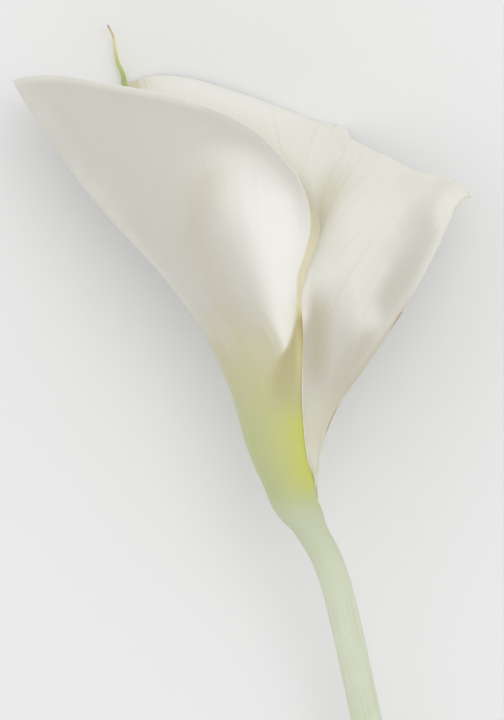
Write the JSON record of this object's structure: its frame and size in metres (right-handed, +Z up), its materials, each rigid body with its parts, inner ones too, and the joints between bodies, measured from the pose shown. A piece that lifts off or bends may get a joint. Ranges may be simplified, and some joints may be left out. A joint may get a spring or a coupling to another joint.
{
  "type": "calla lily flower",
  "caption": "Picked calla lily lying on its back: a white funnel-shaped spathe with a folded-back lapel and a pointed tail, a yellow spadix inside, and a cut stem.",
  "frame": {"origin": "on the surface that the flower lies on, under the middle of its bounding box", "axes": "+Y from the cut end of the stem to the mouth of the spathe, +Z up and away from the surface, towards the overlapping front; +X to the side that the lapel folds to"},
  "size_m": [0.1386, 0.2874, 0.0841],
  "materials": {
    "stem": "smooth waxy green stem",
    "spathe": "satin cream-white petal, green at the tube",
    "spadix": "matt yellow, grainy with florets"
  },
  "bodies": {
    "root": {"stem": "stem", "spathe": "spathe", "spadix": "spadix"}
  },
  "joints": []
}
